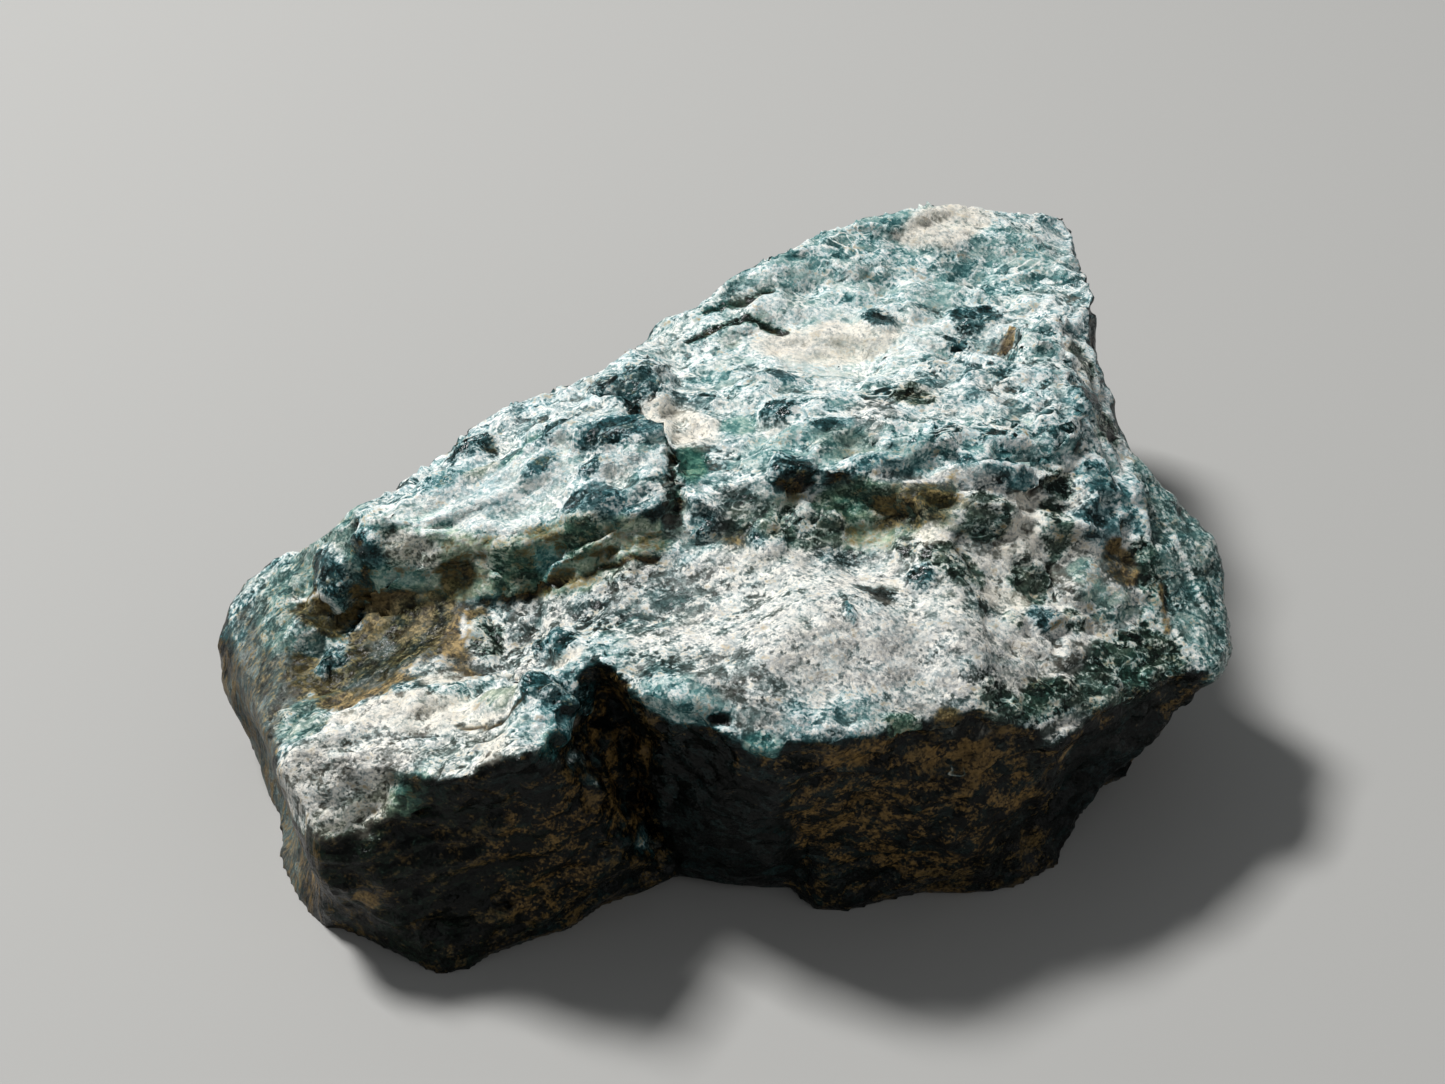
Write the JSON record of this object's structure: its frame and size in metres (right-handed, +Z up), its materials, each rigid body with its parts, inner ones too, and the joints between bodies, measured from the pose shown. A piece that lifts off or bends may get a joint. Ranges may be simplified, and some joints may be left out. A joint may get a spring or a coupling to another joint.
{
  "type": "rough grandidierite crystal",
  "caption": "Rough chunk of blue-green crystal with stepped cleavage faces, a notched front and a pointed end, lying on a flat underside.",
  "frame": {"origin": "bottom centre of the stone's bounding box, on the surface it lies on", "axes": "+Z up, +X along the stone from its low left nose to its pointed right tip, -Y towards its steep notched front"},
  "size_m": [0.026, 0.0228, 0.0097],
  "materials": {
    "frosted_blue_green_stone": "broken crystal: glassy deep teal where fresh, frosted white and stained ochre on the weathered faces"
  },
  "bodies": {
    "root": {"grandidierite_crystal": "frosted_blue_green_stone"}
  },
  "joints": []
}
